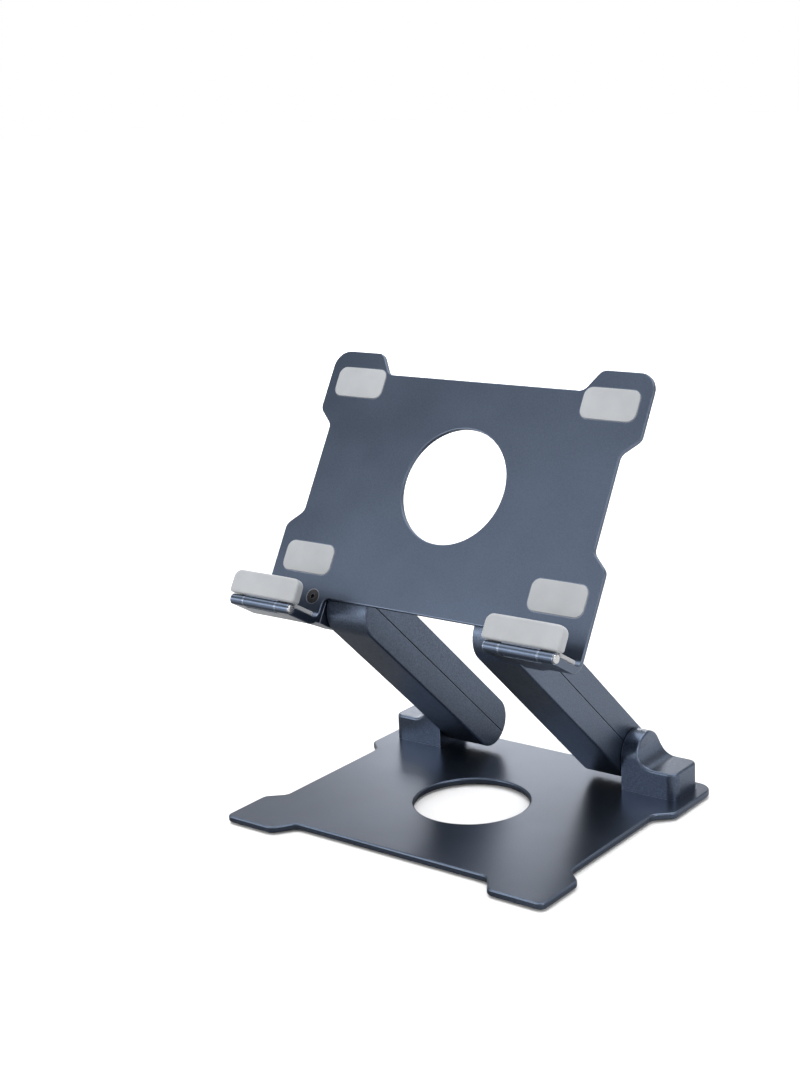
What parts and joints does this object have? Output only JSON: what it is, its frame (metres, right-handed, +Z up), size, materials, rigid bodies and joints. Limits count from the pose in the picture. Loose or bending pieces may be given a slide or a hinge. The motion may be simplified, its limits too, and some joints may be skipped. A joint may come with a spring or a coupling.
{
  "type": "tablet stand",
  "caption": "Folding desk stand: notched base plate with a cable hole, two box-section arms and a tilting holder plate with silicone-lipped hooks.",
  "frame": {"origin": "centre of the base plate's footprint, on the table", "axes": "+Z up, +X to the user's right, -Y towards the user; the YZ plane is the stand's plane of symmetry apart from the pin heads"},
  "size_m": [0.173, 0.1432, 0.2007],
  "materials": {
    "plate_paint": "satin fine-texture powder coat, slate grey",
    "shell_paint": "satin fine-texture powder coat, slate grey",
    "cast_paint": "satin paint over a die casting, slate grey",
    "silicone_light": "matt light grey silicone",
    "silicone_grey": "matt dark grey silicone",
    "black_screw": "black oxide",
    "steel": "turned",
    "spring_steel": "bright",
    "washer_polymer": "matt black acetal",
    "pin_chrome": "polished"
  },
  "bodies": {
    "base": {"base_plate": "plate_paint", "foot_pads": "silicone_grey", "bracket_left": "cast_paint", "bracket_right": "cast_paint", "bracket_screws": "black_screw", "lower_shaft_left": "steel", "lower_shaft_right": "steel", "lower_friction_washers": "washer_polymer", "lower_disc_springs": "spring_steel", "lower_lock_nuts": "steel"},
    "arm_left": {"arm_left_front_shell": "shell_paint", "arm_left_back_shell": "shell_paint", "arm_left_spine": "steel", "arm_left_screws": "black_screw"},
    "arm_right": {"arm_right_front_shell": "shell_paint", "arm_right_back_shell": "shell_paint", "arm_right_spine": "steel", "arm_right_screws": "black_screw"},
    "holder": {"holder_panel": "plate_paint", "panel_pads": "silicone_light", "shelf_liners": "silicone_light", "holder_bracket_left": "cast_paint", "holder_bracket_right": "cast_paint", "holder_bracket_screws": "black_screw", "upper_shaft_left": "steel", "upper_shaft_right": "steel", "upper_friction_washers": "washer_polymer", "upper_disc_springs": "spring_steel", "upper_lock_nuts": "steel", "lip_pin_left": "pin_chrome", "lip_pin_right": "pin_chrome"},
    "lip_left": {"lip_left": "plate_paint", "lip_sleeve_left": "silicone_light"},
    "lip_right": {"lip_right": "plate_paint", "lip_sleeve_right": "silicone_light"}
  },
  "joints": [
    {"name": "arm_left_lift", "type": "hinge", "parent": "base", "child": "arm_left", "pos_m": [0, 0.0579, 0.0179], "axis": [-1, 0, 0], "range_deg": [-40, 46.7]},
    {"name": "arm_right_lift", "type": "hinge", "parent": "base", "child": "arm_right", "pos_m": [0, 0.0579, 0.0179], "axis": [-1, 0, 0], "range_deg": [-40, 46.7]},
    {"name": "holder_tilt", "type": "hinge", "parent": "arm_left", "child": "holder", "pos_m": [0, -0.02259, 0.09375], "axis": [1, 0, 0], "range_deg": [-102, 5]},
    {"name": "lip_left_fold", "type": "hinge", "parent": "holder", "child": "lip_left", "pos_m": [-0.06825, -0.05727, 0.10197], "axis": [1, 0, 0], "range_deg": [0, 90]},
    {"name": "lip_right_fold", "type": "hinge", "parent": "holder", "child": "lip_right", "pos_m": [0.06825, -0.05727, 0.10197], "axis": [1, 0, 0], "range_deg": [0, 90]}
  ],
  "couplings": [
    {"joint": "arm_right_lift", "follows": "arm_left_lift", "ratio": 1}
  ]
}
